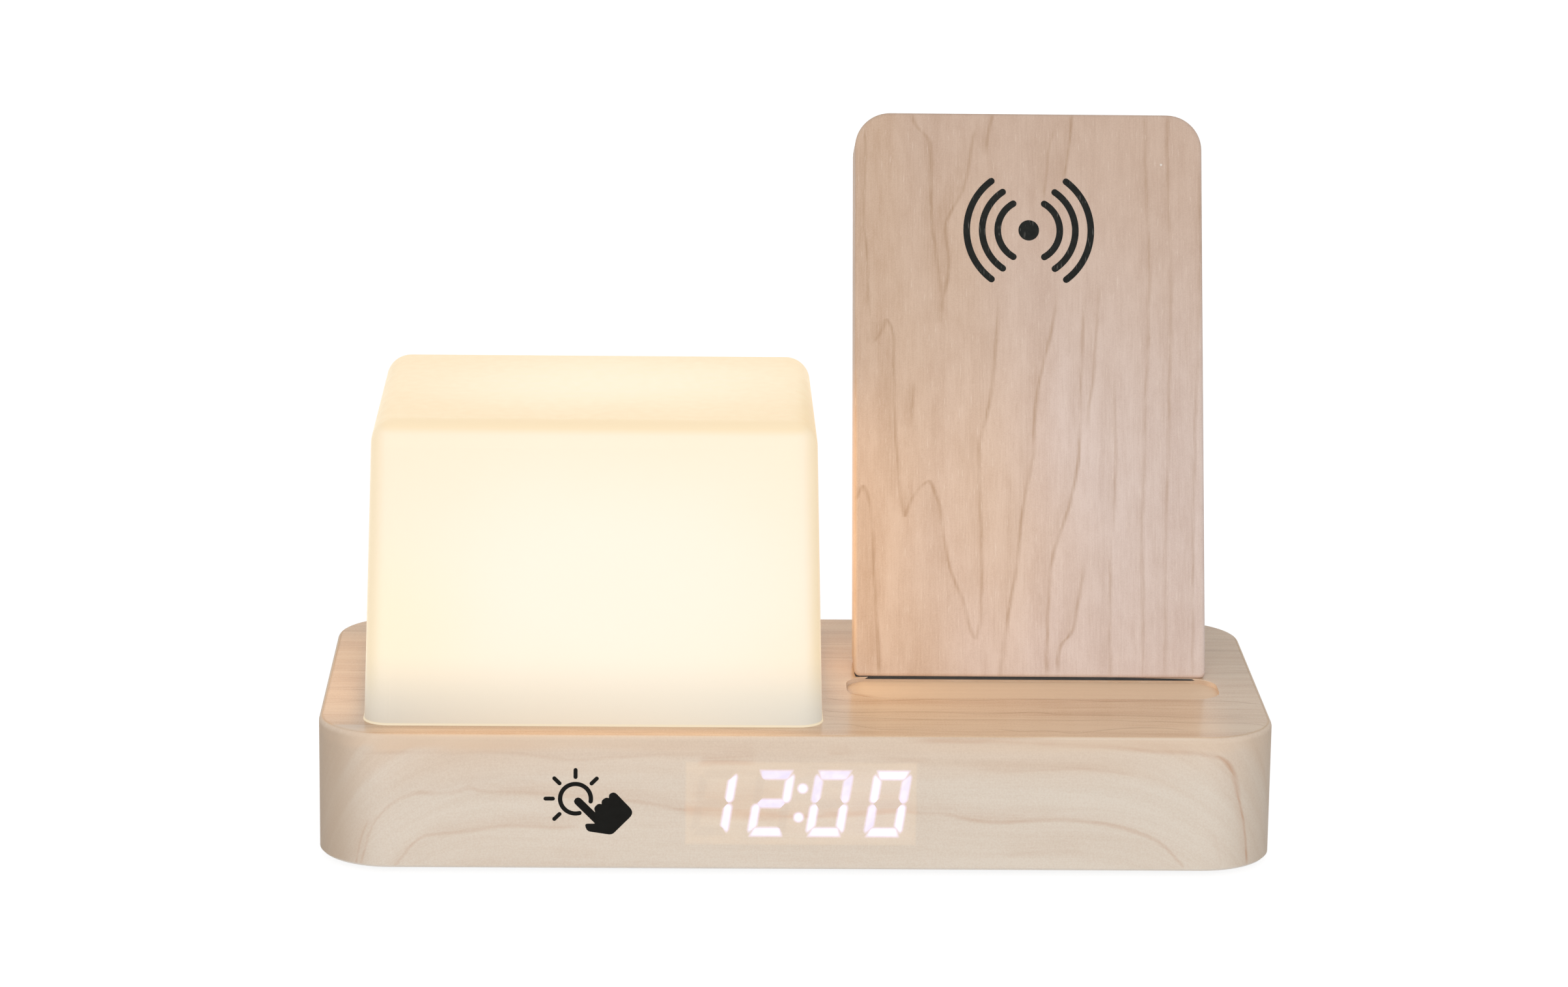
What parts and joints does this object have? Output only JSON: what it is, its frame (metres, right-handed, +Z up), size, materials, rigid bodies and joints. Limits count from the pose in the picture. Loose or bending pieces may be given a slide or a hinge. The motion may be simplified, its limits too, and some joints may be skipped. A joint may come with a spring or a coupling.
{
  "type": "bedside alarm clock",
  "caption": "Long wooden bedside alarm clock with a display behind the veneer, an opal night lamp and a leaning phone-charging stand.",
  "frame": {"origin": "on the ground under the middle of the whole clock's bounding box", "axes": "+X to the right seen from the front, +Y to the back, +Z up; the figures face -Y"},
  "size_m": [0.208, 0.106, 0.1516],
  "materials": {
    "base_wood": "maple veneer, satin lacquer",
    "stand_wood": "maple veneer, satin lacquer, grain upright",
    "display_skin": "thinned veneer that lets the figures shine through",
    "dark_plastic": "fine matte texture",
    "sand_plastic": "fine matte texture in the wood's colour",
    "module_plastic": "display block with its figure windows",
    "foot_rubber": "soft black rubber",
    "screw_steel": "zinc-plated",
    "board_green": "glass-fibre board with solder mask",
    "board_white": "white lamp board",
    "led_package": "warm white phosphor, lit",
    "ribbon_film": "flat ribbon lead",
    "copper": "bare copper",
    "lead_sleeve": "soft lead sleeve",
    "chip_case": "moulded black case",
    "capacitor_can": "bare can",
    "cell_steel": "polished cell",
    "button_plastic": "smooth black",
    "socket_steel": "drawn steel shell",
    "lamp_opal": "opal, satin, lit from inside",
    "tray_plastic": "white",
    "ferrite": "fired ferrite, matte"
  },
  "bodies": {
    "clock": {"backup_cell": "cell_steel", "base_shell": "base_wood", "bottom_cover": "dark_plastic", "buzzer": "dark_plastic", "cell_holder": "dark_plastic", "charger_board": "board_green", "charger_chip": "chip_case", "charger_screws": "screw_steel", "charging_coil": "copper", "clock_chip": "chip_case", "coil_carrier": "dark_plastic", "coil_lead": "lead_sleeve", "cover_screws": "screw_steel", "display_board": "board_green", "display_module": "module_plastic", "display_ribbon": "ribbon_film", "display_screws": "screw_steel", "display_window": "display_skin", "down_switch": "chip_case", "ferrite_sheet": "ferrite", "foot_front_left": "foot_rubber", "foot_front_right": "foot_rubber", "foot_rear_left": "foot_rubber", "foot_rear_right": "foot_rubber", "lamp_board": "board_white", "lamp_board_screws": "screw_steel", "lamp_lead": "lead_sleeve", "lamp_leds": "led_package", "lamp_screws": "screw_steel", "lamp_shade": "lamp_opal", "lamp_tray": "tray_plastic", "main_board": "board_green", "main_board_screws": "screw_steel", "panel_screws": "screw_steel", "power_capacitors": "capacitor_can", "power_socket": "socket_steel", "rear_board": "board_green", "rear_board_screws": "screw_steel", "rear_panel": "dark_plastic", "set_switch": "chip_case", "stand_cover": "sand_plastic", "stand_cover_screws": "screw_steel", "stand_panel": "stand_wood", "stand_screws": "screw_steel", "touch_electrode": "copper", "touch_lead": "lead_sleeve", "up_switch": "chip_case"},
    "set_key": {"set_button": "button_plastic", "set_switch_stem": "button_plastic"},
    "up_key": {"up_button": "button_plastic", "up_switch_stem": "button_plastic"},
    "down_key": {"down_button": "button_plastic", "down_switch_stem": "button_plastic"}
  },
  "joints": [
    {"name": "set_press", "type": "slide", "parent": "clock", "child": "set_key", "axis": [0, -1, 0], "range_m": [0, 0.0003], "stiffness_N_per_m": 5000},
    {"name": "up_press", "type": "slide", "parent": "clock", "child": "up_key", "axis": [0, -1, 0], "range_m": [0, 0.0003], "stiffness_N_per_m": 5000},
    {"name": "down_press", "type": "slide", "parent": "clock", "child": "down_key", "axis": [0, -1, 0], "range_m": [0, 0.0003], "stiffness_N_per_m": 5000}
  ]
}
